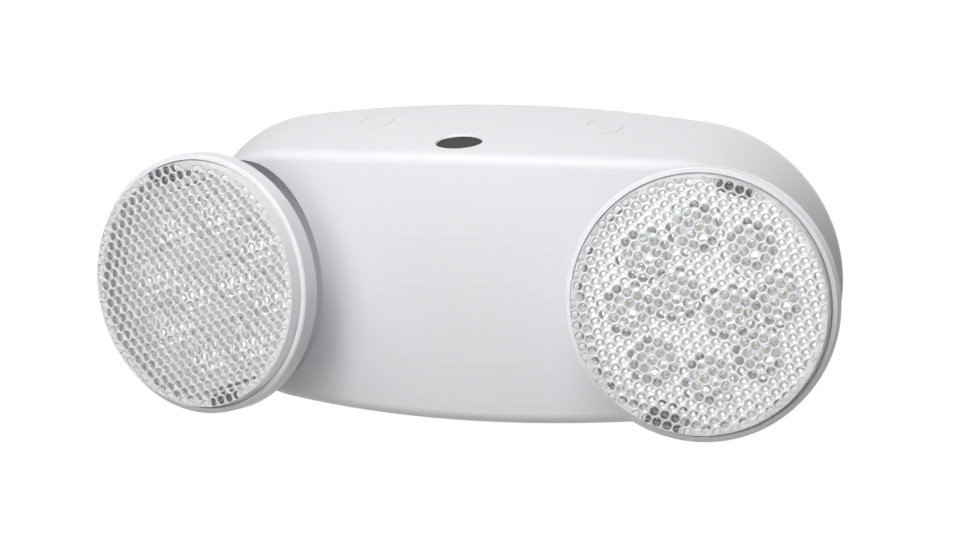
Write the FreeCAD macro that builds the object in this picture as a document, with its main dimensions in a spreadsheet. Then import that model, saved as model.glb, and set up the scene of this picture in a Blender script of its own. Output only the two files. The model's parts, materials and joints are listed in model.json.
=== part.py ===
"""Twin-head LED emergency light, millimetres, wall plane at y = 0, front towards -Y, +Z up.

The housing is an oval cover with a drafted band and a barrel-shaped front, scooped out at both
ends. In each scoop a swivel neck carries a round lamp head with a honeycomb lens.
"""
import FreeCAD, Part
import Sketcher
import math
import os

os.makedirs("parts", exist_ok=True)
doc = FreeCAD.newDocument("twin_head_emergency_light")

# Driving dimensions
DIMENSIONS = {
    # cover
    "housing_width": 268.0,
    "housing_height": 124.0,
    "end_drop": 5.0,
    "base_land": 2.0,
    "draft_angle": 13.3,
    "cover_depth": 50.0,
    "end_depth": 19.0,
    "barrel_radius": 450.0,
    "crease_radius": 5.0,
    "cover_wall": 2.2,
    # where the lamp heads sit
    "hinge_inset": 36.7,
    "hinge_standoff": 39.5,
    "toe_angle": 7.6,
    "roll_angle": 18.4,
    "aim_angle": 5.8,
    "scoop_half_width": 36.5,
    "scoop_half_height": 44.2,
    "scoop_depth": 16.0,
    # knock-outs on the top of the band
    "knockout_radius": 7.2,
    "knockout_offset": 47.4,
    "knockout_standoff": 14.1,
    "knockout_groove": 0.6,
    "knockout_groove_depth": 0.3,
    # test button
    "button_offset": -4.0,
    "button_half_length": 9.1,
    "button_half_width": 6.0,
    "button_standoff": 34.7,
    "button_recess": 0.8,
    "button_bevel": 0.6,
    "button_travel": 1.5,
    "button_ear_reach": 1.2,
    "button_flange_half_width": 6.4,
    "button_flange_thickness": 1.0,
    "button_stem_radius": 2.5,
    "button_stem_length": 4.5,
    "plunger_radius": 1.5,
    "plunger_length": 3.0,
    "switch_side": 6.0,
    "switch_height": 4.5,
    "switch_board_length": 31.0,
    "switch_board_width": 12.0,
    "switch_post_offset": 13.0,
    "switch_post_radius": 2.0,
    "status_led_radius": 1.5,
    "status_led_height": 4.0,
    "status_led_offset": 6.5,
    # back plate and what it carries
    "back_plate_thickness": 2.5,
    "wire_entry_radius": 11.0,
    "mounting_spacing": 83.3,
    "mounting_hole_radius": 2.3,
    "board_length": 88.0,
    "board_width": 34.0,
    "board_thickness": 1.6,
    "board_drop": 29.0,
    "board_post_length": 6.0,
    "board_post_radius": 3.0,
    "board_screw_inset": 4.0,
    "screw_radius": 1.3,
    "screw_head_radius": 2.5,
    "screw_head_height": 1.6,
    "screw_length": 5.0,
    "cell_radius": 7.25,
    "cell_length": 50.0,
    "battery_rise": 28.0,
    "strap_thickness": 1.2,
    "strap_width": 13.0,
    "strap_foot": 13.0,
    "strap_post_length": 4.0,
    "transformer_offset": -27.0,
    "core_length": 26.0,
    "core_width": 12.0,
    "core_height": 17.0,
    "core_limb": 3.5,
    "core_middle_limb": 8.0,
    "winding_width": 21.0,
    "capacitor_radius": 5.0,
    "capacitor_height": 13.0,
    "capacitor_offset": 0.0,
    "terminal_length": 20.0,
    "terminal_width": 9.0,
    "terminal_height": 10.0,
    "terminal_offset": 26.0,
    "relay_length": 16.0,
    "relay_width": 10.0,
    "relay_height": 12.0,
    "relay_offset": 24.0,
    # lamp head
    "rim_radius": 50.0,
    "rim_reach": 28.0,
    "rim_thickness": 2.0,
    "rim_rounding": 0.7,
    "drum_length": 7.5,
    "drum_chamfer": 1.2,
    "head_wall": 2.0,
    "back_radius": 24.0,
    "back_reach": 8.0,
    "lens_seat_depth": 3.5,
    "lens_seat_width": 1.5,
    "lens_thickness": 1.8,
    "lens_rise": 4.3,
    "lens_slope": 2.2,
    "lens_tab_thickness": 0.8,
    "lens_tab_length": 3.5,
    "cell_pitch": 4.0,
    "cell_depth": 0.8,
    "cell_margin": 0.8,
    "reflector_thickness": 1.2,
    "reflector_drop": 0.5,
    "cup_radius": 9.1,
    "cup_depth": 8.0,
    "cup_overrun": 0.55,
    "led_ring_inset": 4.1,
    "led_inner_offset": 10.0,
    "led_side": 3.5,
    "led_height": 0.8,
    "led_dome_radius": 1.4,
    "led_dome_height": 0.5,
    "led_board_inset": 18.4,
    "led_screw_inset": 12.5,
    "latch_width": 14.0,
    "latch_height": 4.0,
    # tilt knuckle and swivel neck
    "knuckle_width": 12.0,
    "knuckle_radius": 5.5,
    "pin_radius": 2.0,
    "lug_thickness": 4.0,
    "lug_radius": 5.0,
    "neck_radius": 9.0,
    "neck_bore_radius": 6.0,
    "neck_flange_radius": 19.0,
    "neck_flange_thickness": 2.5,
    "neck_cone_height": 3.2,
    "lug_sink": 1.1,
    "neck_shoulder_radius": 13.0,
    "washer_radius": 14.0,
    "washer_thickness": 1.0,
    "nut_radius": 12.5,
    "nut_thickness": 3.0,
    "thread_end": 0.6,
    # clearances
    "running_clearance": 0.05,
    "turning_clearance": 0.1,
    "seat_clearance": 0.3,
}
ON_EDGE = 0.01
BATTERY_CELLS = 3
RING_LAMPS = 8

sheet = doc.addObject("Spreadsheet::Sheet", "dims")
for row, (alias, number) in enumerate(DIMENSIONS.items(), start=1):
    sheet.set(f"A{row}", alias)
    sheet.set(f"B{row}", str(number))
    sheet.setAlias(f"B{row}", alias)
doc.recompute()


class Size:
    """A size that carries its number and the spreadsheet formula it comes from."""

    def __init__(self, number, formula):
        self.number = float(number)
        self.formula = formula

    def __add__(self, other):
        other = as_size(other)
        return Size(self.number + other.number, f"({self.formula} + {other.formula})")

    def __sub__(self, other):
        other = as_size(other)
        return Size(self.number - other.number, f"({self.formula} - {other.formula})")

    def __mul__(self, other):
        other = as_size(other)
        return Size(self.number * other.number, f"({self.formula} * {other.formula})")

    def __truediv__(self, other):
        other = as_size(other)
        return Size(self.number / other.number, f"({self.formula} / {other.formula})")

    def __neg__(self):
        return Size(-self.number, f"(0 - {self.formula})")


def as_size(value):
    return value if isinstance(value, Size) else Size(value, str(value))


class Dims:
    """The spreadsheet's aliases as sizes, such as D.cover_wall."""

    def __getattr__(self, alias):
        return Size(sheet.get(alias), f"dims.{alias}")


D = Dims()
ZERO = as_size(0)


# Frames: each lamp head is drawn with its tilt axis on X, up on Y and its beam along Z
SIDES = {"left": -1.0, "right": 1.0}
X_AXIS = FreeCAD.Vector(1, 0, 0)
Y_AXIS = FreeCAD.Vector(0, 1, 0)
Z_AXIS = FreeCAD.Vector(0, 0, 1)
ORIGIN = FreeCAD.Vector(0, 0, 0)
QUARTER_TURN = 90
BEVEL_ANGLE = 45
FACE_FORWARD = FreeCAD.Rotation(X_AXIS, QUARTER_TURN)


def scoop_placement(side):
    """At the tilt axis, looking out of the scoop."""
    reach = (D.housing_width / 2 - D.hinge_inset).number
    centre = FreeCAD.Vector(side * reach, -D.hinge_standoff.number, 0)
    toe_out = FreeCAD.Rotation(Z_AXIS, side * D.toe_angle.number)
    return FreeCAD.Placement(centre, toe_out * FACE_FORWARD)


def neck_placement(side):
    """The scoop's frame, with the swivel neck turned to its resting roll."""
    roll = FreeCAD.Rotation(Z_AXIS, -side * D.roll_angle.number)
    return scoop_placement(side) * FreeCAD.Placement(ORIGIN, roll)


def head_placement(side):
    """The neck's frame, tilted up to the resting aim."""
    aim = FreeCAD.Rotation(X_AXIS, -D.aim_angle.number)
    return neck_placement(side) * FreeCAD.Placement(ORIGIN, aim)


def band_placement(x, standoff, surface_height, lean):
    """A point on the top of the band, with Z along the band's outward normal."""
    slope = FreeCAD.Rotation(X_AXIS, D.draft_angle.number)
    outward = FreeCAD.Rotation(Y_AXIS, lean)
    return FreeCAD.Placement(FreeCAD.Vector(x, -standoff, surface_height), outward * slope)


def wall_placement(x=0.0, y=0.0, z=0.0):
    """A frame on the housing, looking straight away from the wall."""
    return FreeCAD.Placement(FreeCAD.Vector(x, y, z), FACE_FORWARD)


# Building blocks
def bind(thing, **sizes):
    for name, size in sizes.items():
        thing.setExpression(name, as_size(size).formula)
    return thing


def at(thing, x=ZERO, y=ZERO, z=ZERO):
    """Places a block in its own drawing frame, by formula."""
    sizes = {"x": as_size(x), "y": as_size(y), "z": as_size(z)}
    corner = FreeCAD.Vector(*(size.number for size in sizes.values()))
    thing.Placement = FreeCAD.Placement(corner, thing.Placement.Rotation)
    for axis, size in sizes.items():
        thing.setExpression(f"Placement.Base.{axis}", size.formula)
    return thing


def cylinder(radius, height, x=ZERO, y=ZERO, z=ZERO):
    rod = bind(doc.addObject("Part::Cylinder", "cylinder"), Radius=radius, Height=height)
    return at(rod, x, y, z)


def cross_cylinder(radius, length, x=ZERO):
    """A cylinder along X on the tilt axis, centred on x."""
    rod = bind(doc.addObject("Part::Cylinder", "cross_cylinder"), Radius=radius, Height=length)
    rod.Placement = FreeCAD.Placement(ORIGIN, FreeCAD.Rotation(Y_AXIS, QUARTER_TURN))
    return at(rod, x=as_size(x) - length / 2)


def oval_rod(half_length, half_width, height, z=ZERO, flare=None):
    """An upright rod with an elliptical section, long way along X, that may flare upwards."""
    ellipse = doc.addObject("Part::Ellipse", "ellipse")
    bind(ellipse, MajorRadius=half_length, MinorRadius=half_width)
    rod = doc.addObject("Part::Extrusion", "oval_rod")
    rod.Base = ellipse
    rod.DirMode = "Custom"
    rod.Dir = Z_AXIS
    rod.Solid = True
    rod.setExpression("LengthFwd", as_size(height).formula)
    if flare is not None:
        rod.TaperAngle = flare
    return at(rod, z=z)


def cone(bottom, top, height, x=ZERO, y=ZERO, z=ZERO):
    taper = doc.addObject("Part::Cone", "cone")
    return at(bind(taper, Radius1=bottom, Radius2=top, Height=height), x, y, z)


def box(length, width, height, x=ZERO, y=ZERO, z=ZERO):
    """A box centred on x and y that stands on z."""
    block = doc.addObject("Part::Box", "box")
    bind(block, Length=length, Width=width, Height=height)
    return at(block, x - length / 2, y - width / 2, z)


def fuse(*things):
    union = doc.addObject("Part::MultiFuse", "fuse")
    union.Shapes = list(things)
    return union


def cut(base, *tools):
    result = doc.addObject("Part::Cut", "cut")
    result.Base = base
    result.Tool = fuse(*tools) if len(tools) > 1 else tools[0]
    return result


def common(first, second):
    result = doc.addObject("Part::Common", "common")
    result.Base = first
    result.Tool = second
    return result


def group(*things):
    """Separate solids kept in one node, such as a set of screws."""
    bundle = doc.addObject("Part::Compound", "group")
    bundle.Links = list(things)
    return bundle


def turned(corners, name="turned"):
    """A revolved body: corners are (radius, height) pairs joined by straight lines."""
    body = doc.addObject("PartDesign::Body", name)
    plane = next(f for f in body.Origin.OriginFeatures if f.Role == "XZ_Plane")
    sketch = body.newObject("Sketcher::SketchObject", f"{name}_profile")
    sketch.AttachmentSupport = [(plane, "")]
    sketch.MapMode = "FlatFace"
    points = [FreeCAD.Vector(radius.number, height.number, 0) for radius, height in corners]
    count = len(points)
    for index, point in enumerate(points):
        sketch.addGeometry(Part.LineSegment(point, points[(index + 1) % count]), False)
    for index in range(count):
        link = Sketcher.Constraint("Coincident", index, 2, (index + 1) % count, 1)
        sketch.addConstraint(link)
    for index, (radius, height) in enumerate(corners):
        place_vertex(sketch, "DistanceX", index, radius)
        place_vertex(sketch, "DistanceY", index, height)
    turn = body.newObject("PartDesign::Revolution", f"{name}_turn")
    turn.Profile = sketch
    turn.ReferenceAxis = (sketch, ["V_Axis"])
    turn.Angle = 360
    return body


def place_vertex(sketch, kind, index, size):
    """Ties a vertex to the axes by formula, whichever side of them it lies on."""
    if size.number < 0:
        constraint = Sketcher.Constraint(kind, index, 1, -1, 1, -size.number)
        formula = (-size).formula
    else:
        constraint = Sketcher.Constraint(kind, -1, 1, index, 1, size.number)
        formula = size.formula
    row = sketch.addConstraint(constraint)
    if size.number != 0:
        sketch.setExpression(f"Constraints[{row}]", formula)


finished = []


def finish(thing, label, placement=None):
    """Names a sub-part, whose label is its node and file name, and moves it into place."""
    if placement is not None:
        placed(thing, placement)
    thing.Label = label
    finished.append(thing)
    return thing


# Cover
def oval_sketch(inset, name):
    """Four tangent arcs: two round ends and the shallow crowns above and below."""
    sketch = doc.addObject("Sketcher::SketchObject", name)
    sketch.Placement = FreeCAD.Placement(ORIGIN, FACE_FORWARD)
    half_width = D.housing_width / 2 - inset
    half_height = D.housing_height / 2 - inset
    end = end_radius() - inset
    reach = half_width - end
    crown = crown_radius(inset)
    drop = crown - half_height.number
    centres = (FreeCAD.Vector(reach.number, 0, 0), FreeCAD.Vector(0, -drop, 0),
               FreeCAD.Vector(-reach.number, 0, 0), FreeCAD.Vector(0, drop, 0))
    turn = math.atan2(drop, reach.number)
    spans = ((-turn, turn), (turn, math.pi - turn), (math.pi - turn, math.pi + turn),
             (math.pi + turn, 2 * math.pi - turn))
    radii = (end.number, crown, end.number, crown)
    for centre, radius, (start, stop) in zip(centres, radii, spans):
        circle = Part.Circle(centre, Z_AXIS, radius)
        sketch.addGeometry(Part.ArcOfCircle(circle, start, stop), False)
    for index in range(4):
        join = Sketcher.Constraint("Tangent", index, 2, (index + 1) % 4, 1)
        sketch.addConstraint(join)
    sketch.addConstraint(Sketcher.Constraint("PointOnObject", 0, 3, -1))
    sketch.addConstraint(Sketcher.Constraint("PointOnObject", 2, 3, -1))
    sketch.addConstraint(Sketcher.Constraint("PointOnObject", 1, 3, -2))
    drive(sketch, Sketcher.Constraint("Radius", 0, end.number), end)
    drive(sketch, Sketcher.Constraint("Radius", 2, end.number), end)
    drive(sketch, Sketcher.Constraint("DistanceX", -1, 1, 0, 3, reach.number), reach)
    rise = half_height
    top = sketch.addGeometry(Part.Point(FreeCAD.Vector(0, rise.number, 0)), True)
    sketch.addConstraint(Sketcher.Constraint("PointOnObject", top, 1, -2))
    sketch.addConstraint(Sketcher.Constraint("PointOnObject", top, 1, 1))
    drive(sketch, Sketcher.Constraint("DistanceY", -1, 1, top, 1, rise.number), rise)
    return sketch


def drive(sketch, constraint, size):
    row = sketch.addConstraint(constraint)
    sketch.setExpression(f"Constraints[{row}]", size.formula)


def end_radius():
    """The round ends are a little lower than the crowns between them."""
    return D.housing_height / 2 - D.end_drop


def crown_radius(inset=ZERO):
    """Radius of the crown arc that is tangent to both round ends."""
    end = end_radius().number
    reach = D.housing_width.number / 2 - end
    half_height = D.housing_height.number / 2
    outer = (reach ** 2 + half_height ** 2 - end ** 2) / (2 * (half_height - end))
    return outer - inset.number


def extrusion(sketch, length, taper=None):
    solid = doc.addObject("Part::Extrusion", "extrusion")
    solid.Base = sketch
    solid.DirMode = "Custom"
    solid.Dir = FreeCAD.Vector(0, -1, 0)
    solid.Solid = True
    solid.setExpression("LengthFwd", length.formula)
    if taper is not None:
        solid.setExpression("TaperAngle", (-taper).formula)
    return solid


def bow_radius():
    """Radius of the front seen from above, from its depth in the middle and at its ends."""
    reach = D.housing_width / 2
    sag = D.cover_depth - D.end_depth
    return (reach * reach + sag * sag) / (sag * 2)


def front_barrel(inset):
    """A barrel on a vertical axis behind the wall; its skin is the bowed front of the cover."""
    girth = bow_radius() - inset
    bulge = D.barrel_radius - inset
    half = D.housing_height
    axis = bow_radius() - D.cover_depth
    lean = math.asin(half.number / bulge.number)
    circle = Part.Circle(FreeCAD.Vector(girth.number - bulge.number, 0, 0), Z_AXIS, bulge.number)
    arc = Part.ArcOfCircle(circle, -lean, lean)
    top = arc.EndPoint
    bottom = arc.StartPoint
    sketch = doc.addObject("Sketcher::SketchObject", "barrel_profile")
    facing_back = FreeCAD.Rotation(Z_AXIS, QUARTER_TURN) * FACE_FORWARD
    sketch.Placement = FreeCAD.Placement(FreeCAD.Vector(0, axis.number, 0), facing_back)
    sketch.setExpression("Placement.Base.y", axis.formula)
    sketch.addGeometry(arc, False)
    top_axis = FreeCAD.Vector(0, top.y, 0)
    bottom_axis = FreeCAD.Vector(0, bottom.y, 0)
    for start, stop in ((top, top_axis), (top_axis, bottom_axis), (bottom_axis, bottom)):
        sketch.addGeometry(Part.LineSegment(start, stop), False)
    for index in range(4):
        sketch.addConstraint(Sketcher.Constraint("Coincident", index, 2, (index + 1) % 4, 1))
    sketch.addConstraint(Sketcher.Constraint("Horizontal", 1))
    sketch.addConstraint(Sketcher.Constraint("Horizontal", 3))
    sketch.addConstraint(Sketcher.Constraint("PointOnObject", 2, 1, -2))
    sketch.addConstraint(Sketcher.Constraint("PointOnObject", 2, 2, -2))
    sketch.addConstraint(Sketcher.Constraint("PointOnObject", 0, 3, -1))
    drive(sketch, Sketcher.Constraint("Radius", 0, bulge.number), bulge)
    inward = bulge - girth
    drive(sketch, Sketcher.Constraint("DistanceX", 0, 3, -1, 1, inward.number), inward)
    drive(sketch, Sketcher.Constraint("DistanceY", -1, 1, 2, 1, half.number), half)
    barrel = doc.addObject("Part::Revolution", "barrel")
    barrel.Source = sketch
    barrel.Axis = Z_AXIS
    barrel.Angle = 360
    barrel.Solid = True
    barrel.setExpression("Base.y", axis.formula)
    return barrel


def crease_edges(shape):
    """Edges all round the barrel-shaped front, where it meets the band."""
    front = min(shape.Faces, key=lambda face: face.CenterOfMass.y)
    rim = front.OuterWire.Edges
    return [number for number, edge in enumerate(shape.Edges, start=1)
            if any(edge.isSame(other) for other in rim)]


def oval_block(inset, rounding):
    """The oval block inside an inset: a short land, the drafted band and the rounded front."""
    sketch = oval_sketch(inset, "oval")
    land = extrusion(sketch, D.base_land)
    band = extrusion(sketch, D.cover_depth + D.crease_radius, D.draft_angle)
    band.setExpression("Placement.Base.y", (-D.base_land).formula)
    return rounded(common(fuse(land, band), front_barrel(inset)), crease_edges, rounding)


def rounded(body, edges_of, radius):
    """Rounds the edges of a body that a rule picks out."""
    doc.recompute()
    result = doc.addObject("Part::Fillet", "rounded")
    result.Base = body
    result.Edges = [(number, radius.number, radius.number) for number in edges_of(body.Shape)]
    return result


def rim_edge(shape):
    """The front edge of a lamp head's rim, in the head's own frame."""
    front = D.rim_reach.number
    radius = D.rim_radius.number
    return [number for number, edge in enumerate(shape.Edges, start=1)
            if abs(edge.BoundBox.ZMin - front) < ON_EDGE
            and abs(edge.BoundBox.ZMax - front) < ON_EDGE
            and abs(edge.BoundBox.XMax - radius) < ON_EDGE]


def scoop_tool(side, inset):
    """The upright oval scoop for a lamp head, grown by the wall where it shapes the cavity."""
    reach = D.scoop_depth + D.cover_depth
    tool = oval_rod(D.scoop_half_height + inset, D.scoop_half_width + inset, reach + inset,
                    -D.scoop_depth - inset)
    upright = FreeCAD.Placement(ORIGIN, FreeCAD.Rotation(Z_AXIS, QUARTER_TURN))
    return placed(tool, scoop_placement(side) * upright)


def placed(thing, placement):
    """Moves a block from its drawing frame to the frame of what it cuts or joins."""
    local = thing.Placement
    for axis in "xyz":
        thing.setExpression(f"Placement.Base.{axis}", None)
    thing.Placement = placement * local
    return thing


def band_height(x, standoff):
    """Height of the band's outer face above the middle of the light."""
    crown = crown_radius()
    crown_centre = D.housing_height.number / 2 - crown
    crest = crown_centre + math.sqrt(crown ** 2 - x ** 2)
    slope = math.tan(math.radians(D.draft_angle.number))
    return crest - (standoff - D.base_land.number) * slope


def on_band(x, standoff):
    """A frame on the crown of the band, with Z along its outward normal."""
    lean = math.degrees(math.asin(x / crown_radius()))
    return band_placement(x, standoff, band_height(x, standoff), lean)


def button_placement():
    return on_band(D.button_offset.number, D.button_standoff.number)


def knockout_placement(side):
    return on_band(side * D.knockout_offset.number, D.knockout_standoff.number)


def button_hole():
    length = D.button_half_length + D.turning_clearance
    width = D.button_half_width + D.turning_clearance
    return oval_rod(length, width, D.cover_wall * 4, -D.cover_wall * 2)


def button_bevel():
    """The flare round the button's opening, from just under the surface to well above it."""
    length = D.button_half_length + D.turning_clearance
    width = D.button_half_width + D.turning_clearance
    return oval_rod(length, width, D.cover_wall, -D.button_bevel, BEVEL_ANGLE)


def knockout_groove():
    """A thin ring let into the wall round a knock-out that stays closed."""
    outer = cylinder(D.knockout_radius, D.knockout_radius, z=-D.knockout_groove_depth)
    core = D.knockout_radius - D.knockout_groove
    inner = cylinder(core, D.knockout_radius * 2, z=-D.knockout_radius)
    return cut(outer, inner)


def switch_board_top():
    """Height of the switch board's upper face in the button's frame."""
    return stem_end() - D.button_travel - D.seat_clearance - D.switch_height


def stem_end():
    flange_face = -D.cover_wall - D.seat_clearance
    return flange_face - D.button_flange_thickness - D.button_stem_length


def switch_posts():
    length = -switch_board_top() - D.cover_wall / 2
    low = switch_board_top()
    return [cylinder(D.switch_post_radius, length, x=D.switch_post_offset * side, z=low)
            for side in SIDES.values()]


def switch_screw_holes():
    radius = D.screw_radius + D.running_clearance
    return [cylinder(radius, D.screw_length, x=D.switch_post_offset * side, z=switch_board_top())
            for side in SIDES.values()]


def front_cover():
    outside = oval_block(ZERO, D.crease_radius)
    inside = oval_block(D.cover_wall, D.crease_radius - D.cover_wall)
    cavity = cut(inside, *(scoop_tool(side, D.cover_wall) for side in SIDES.values()))
    openings = [cavity]
    openings += [placed(tool, button_placement()) for tool in (button_hole(), button_bevel())]
    for side in SIDES.values():
        openings.append(scoop_tool(side, ZERO))
        through = D.scoop_depth * 2
        neck_hole = cylinder(D.neck_radius + D.turning_clearance, through, z=-through)
        openings.append(placed(neck_hole, scoop_placement(side)))
        openings.append(placed(knockout_groove(), knockout_placement(side)))
    shell = cut(outside, *openings)
    posts = placed(cut(fuse(*switch_posts()), *switch_screw_holes()), button_placement())
    return finish(fuse(shell, posts), "front_cover")


# Test button, its switch and the status light
def test_button():
    cap_height = D.cover_wall + D.seat_clearance - D.button_recess
    flange_top = -D.cover_wall - D.seat_clearance
    cap = oval_rod(D.button_half_length, D.button_half_width, cap_height, flange_top)
    flange = oval_rod(D.button_half_length + D.button_ear_reach, D.button_flange_half_width,
                      D.button_flange_thickness, flange_top - D.button_flange_thickness)
    stem = cylinder(D.button_stem_radius, D.button_stem_length, z=stem_end())
    finish(fuse(cap, flange, stem), "test_button", button_placement())


def test_switch():
    top = switch_board_top() + D.switch_height
    body = box(D.switch_side, D.switch_side, D.switch_height, z=switch_board_top())
    well_depth = D.plunger_length - (stem_end() - top) + D.button_travel + D.seat_clearance
    well = cylinder(D.plunger_radius + D.seat_clearance, well_depth, z=top - well_depth)
    finish(cut(body, well), "test_switch", button_placement())
    plunger = cylinder(D.plunger_radius, D.plunger_length, z=stem_end() - D.plunger_length)
    finish(plunger, "switch_plunger", button_placement())


def switch_board():
    bottom = switch_board_top() - D.board_thickness
    slab = box(D.switch_board_length, D.switch_board_width, D.board_thickness, z=bottom)
    radius = D.screw_radius + D.running_clearance
    holes = [cylinder(radius, D.board_thickness, x=D.switch_post_offset * side, z=bottom)
             for side in SIDES.values()]
    finish(cut(slab, *holes), "switch_board", button_placement())
    screws = [screw(D.switch_post_offset * side, ZERO, bottom, up=True) for side in SIDES.values()]
    finish(group(*screws), "switch_board_screws", button_placement())
    led = cylinder(D.status_led_radius, D.status_led_height, x=D.status_led_offset,
                   z=switch_board_top())
    finish(led, "status_led", button_placement())


def screw(x, y, seat, up=False):
    """A pan-head screw whose head rests on a seat; the shank runs away from the head."""
    if up:
        head = cylinder(D.screw_head_radius, D.screw_head_height, x, y, seat - D.screw_head_height)
        shank = cylinder(D.screw_radius, D.screw_length, x, y, seat)
    else:
        head = cylinder(D.screw_head_radius, D.screw_head_height, x, y, seat)
        shank = cylinder(D.screw_radius, D.screw_length, x, y, seat - D.screw_length)
    return fuse(head, shank)


# Back plate and the parts it carries, in a frame that looks away from the wall
def board_middle():
    """Height of the control board's middle, hung from the top of the housing."""
    return D.housing_height / 2 - D.board_drop


def battery_middle():
    """Height of the battery's middle, stood up from the bottom of the housing."""
    return D.battery_rise - D.housing_height / 2


def board_corners():
    reach = D.board_length / 2 - D.board_screw_inset
    rise = D.board_width / 2 - D.board_screw_inset
    return [(reach * sx, board_middle() + rise * sy) for sx in (-1, 1) for sy in (-1, 1)]


def board_seat():
    return D.back_plate_thickness + D.board_post_length


def strap_seat():
    return D.back_plate_thickness + D.strap_post_length


def strap_leg():
    return D.cell_length / 2 + D.seat_clearance


def strap_screws():
    reach = strap_leg() + D.strap_foot - D.board_screw_inset
    return [(reach * side, battery_middle()) for side in SIDES.values()]


def back_plate():
    plate = extrusion(oval_sketch(D.cover_wall + D.seat_clearance, "back_plate_oval"),
                      D.back_plate_thickness)
    posts = []
    holes = []
    start = D.back_plate_thickness / 2
    for seat, places in ((board_seat(), board_corners()), (strap_seat(), strap_screws())):
        for x, y in places:
            posts.append(cylinder(D.board_post_radius, seat - start, x, y, start))
            depth = D.screw_length + D.seat_clearance
            holes.append(cylinder(D.screw_radius + D.running_clearance, depth, x, y, seat - depth))
    holes.append(cylinder(D.wire_entry_radius, D.back_plate_thickness))
    for side in SIDES.values():
        x = D.mounting_spacing / 2 * side
        holes.append(cylinder(D.mounting_hole_radius, D.back_plate_thickness, x))
    solid = fuse(plate, *(placed(post, wall_placement()) for post in posts))
    finish(cut(solid, *(placed(hole, wall_placement()) for hole in holes)), "back_plate")


def battery():
    bottom = D.back_plate_thickness + D.seat_clearance
    spread = D.cell_radius * (BATTERY_CELLS - 1)
    middle = box(D.cell_length, spread * 2, D.cell_radius * 2, y=battery_middle(), z=bottom)
    ends = []
    for side in SIDES.values():
        end = cross_cylinder(D.cell_radius, D.cell_length)
        at(end, -D.cell_length / 2, battery_middle() + spread * side, bottom + D.cell_radius)
        ends.append(end)
    finish(fuse(middle, *ends), "battery_pack", wall_placement())


def battery_strap():
    top = D.back_plate_thickness + D.seat_clearance * 2 + D.cell_radius * 2
    span = (strap_leg() + D.strap_thickness) * 2
    pieces = [box(span, D.strap_width, D.strap_thickness, y=battery_middle(), z=top)]
    holes = []
    for side in SIDES.values():
        leg_x = (strap_leg() + D.strap_thickness / 2) * side
        leg_height = top - strap_seat() + D.strap_thickness
        pieces.append(box(D.strap_thickness, D.strap_width, leg_height, leg_x,
                          battery_middle(), strap_seat()))
        foot_x = (strap_leg() + D.strap_foot / 2) * side
        pieces.append(box(D.strap_foot, D.strap_width, D.strap_thickness, foot_x,
                          battery_middle(), strap_seat()))
    hole_radius = D.screw_radius + D.running_clearance
    for x, y in strap_screws():
        holes.append(cylinder(hole_radius, D.strap_thickness, x, y, strap_seat()))
    finish(cut(fuse(*pieces), *holes), "battery_strap", wall_placement())
    screws = [screw(x, y, strap_seat() + D.strap_thickness) for x, y in strap_screws()]
    finish(group(*screws), "battery_strap_screws", wall_placement())


def control_board():
    slab = box(D.board_length, D.board_width, D.board_thickness, y=board_middle(), z=board_seat())
    holes = [cylinder(D.screw_radius + D.running_clearance, D.board_thickness, x, y, board_seat())
             for x, y in board_corners()]
    finish(cut(slab, *holes), "control_board", wall_placement())
    top = board_seat() + D.board_thickness
    screws = [screw(x, y, top) for x, y in board_corners()]
    finish(group(*screws), "control_board_screws", wall_placement())
    return top


def board_parts(top):
    x = D.transformer_offset
    core = box(D.core_length, D.core_width, D.core_height, x, board_middle(), top)
    window = D.core_length / 2 - D.core_limb - D.core_middle_limb / 2
    window_height = D.core_height - D.core_limb * 2
    windows = []
    for side in SIDES.values():
        offset = (D.core_middle_limb + window) / 2 * side
        windows.append(box(window, D.core_width, window_height, x + offset, board_middle(),
                           top + D.core_limb))
    finish(cut(core, *windows), "transformer_core", wall_placement())
    gap = D.seat_clearance
    girth = D.core_middle_limb + window * 2 - gap * 2
    height = window_height - gap * 2
    base = top + D.core_limb + gap
    outer = box(girth, D.winding_width, height, x, board_middle(), base)
    inner = box(D.core_middle_limb + gap * 2, D.core_width + gap * 2, height, x,
                board_middle(), base)
    finish(cut(outer, inner), "transformer_winding", wall_placement())
    cans = [cylinder(D.capacitor_radius, D.capacitor_height, D.capacitor_offset,
                     board_middle() + D.board_width / 4 * step, top) for step in (-1, 1)]
    finish(group(*cans), "capacitors", wall_placement())
    relay_y = board_middle() + D.board_width / 4
    relay = box(D.relay_length, D.relay_width, D.relay_height, D.relay_offset, relay_y, top)
    finish(relay, "relay", wall_placement())
    block_y = board_middle() - D.board_width / 4
    block = box(D.terminal_length, D.terminal_width, D.terminal_height, D.terminal_offset,
                block_y, top)
    depth = D.terminal_height / 2
    ways = [cylinder(D.screw_head_radius, depth, D.terminal_offset + D.terminal_length / 4 * step,
                     block_y, top + depth) for step in (-1, 1)]
    finish(cut(block, *ways), "terminal_block", wall_placement())


# Swivel neck, turning in the scoop's floor
def washer_top():
    return -D.scoop_depth - D.cover_wall - D.seat_clearance


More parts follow.
